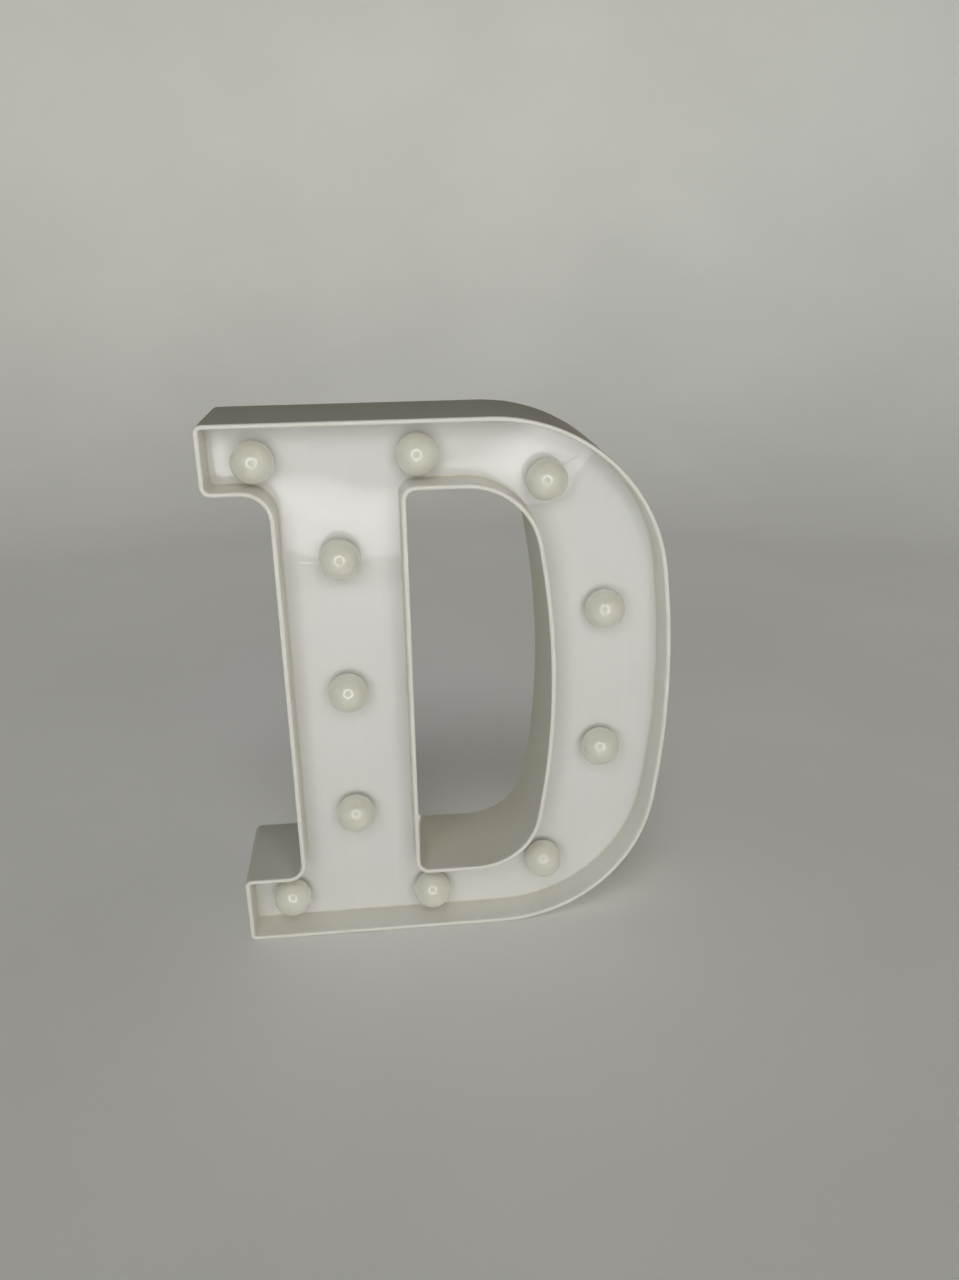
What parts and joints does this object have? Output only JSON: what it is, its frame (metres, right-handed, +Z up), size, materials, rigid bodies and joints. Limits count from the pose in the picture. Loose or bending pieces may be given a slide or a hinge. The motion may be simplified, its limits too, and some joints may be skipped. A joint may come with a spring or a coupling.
{
  "type": "light-up letter",
  "caption": "Battery-lit slab-serif letter D: open-fronted tray with ball bulbs on a recessed plate, screwed back cover with hinged battery door, slide switch and keyhole hanger.",
  "frame": {"origin": "under the middle of the letter, on the surface it stands on", "axes": "+Z up the letter, +X towards the bowl, -Y out of the open front"},
  "size_m": [0.178, 0.045, 0.22],
  "materials": {
    "shell_white": "glossy ivory-white moulding",
    "cover_white": "satin ivory-white moulding",
    "bulb_ivory": "glossy milky ivory",
    "led_epoxy": "clear epoxy with tinned leads",
    "wire_red": "satin red insulation",
    "wire_black": "satin black insulation",
    "resistor_tan": "satin coating",
    "cell_sleeve": null,
    "contact_nickel": "nickel plated",
    "steel": "zinc plated",
    "phenolic": "brown laminate",
    "terminal_brass": "tinned brass",
    "switch_black": "satin black"
  },
  "bodies": {
    "letter": {"letter_shell": "shell_white", "back_cover": "cover_white", "cover_screws": "steel", "bulb_cap_top_left": "bulb_ivory", "bulb_cap_top_middle": "bulb_ivory", "bulb_cap_bowl_top": "bulb_ivory", "bulb_cap_bowl_upper": "bulb_ivory", "bulb_cap_bowl_lower": "bulb_ivory", "bulb_cap_bowl_bottom": "bulb_ivory", "bulb_cap_bottom_middle": "bulb_ivory", "bulb_cap_bottom_left": "bulb_ivory", "bulb_cap_stem_lower": "bulb_ivory", "bulb_cap_stem_middle": "bulb_ivory", "bulb_cap_stem_upper": "bulb_ivory", "led_top_left": "led_epoxy", "led_top_middle": "led_epoxy", "led_bowl_top": "led_epoxy", "led_bowl_upper": "led_epoxy", "led_bowl_lower": "led_epoxy", "led_bowl_bottom": "led_epoxy", "led_bottom_middle": "led_epoxy", "led_bottom_left": "led_epoxy", "led_stem_lower": "led_epoxy", "led_stem_middle": "led_epoxy", "led_stem_upper": "led_epoxy", "wire_positive": "wire_red", "wire_negative": "wire_black", "wire_battery": "wire_red", "wire_switch": "wire_red", "series_resistor": "resistor_tan", "cell_left": "cell_sleeve", "cell_right": "cell_sleeve", "contact_positive": "contact_nickel", "contact_negative": "contact_nickel", "contact_bridge": "contact_nickel", "spring_bridge": "contact_nickel", "spring_negative": "contact_nickel", "switch_frame": "steel", "switch_base": "phenolic", "switch_terminals": "terminal_brass", "switch_screws": "steel"},
    "door": {"battery_door": "cover_white"},
    "slider": {"switch_slider": "switch_black", "switch_wiper": "terminal_brass"}
  },
  "joints": [
    {"name": "door_hinge", "type": "hinge", "parent": "letter", "child": "door", "pos_m": [-0.04, 0.0214, 0.117], "axis": [1, 0, 0], "range_deg": [0, 100]},
    {"name": "switch_slide", "type": "slide", "parent": "letter", "child": "slider", "axis": [1, 0, 0], "range_m": [0, 0.004]}
  ]
}
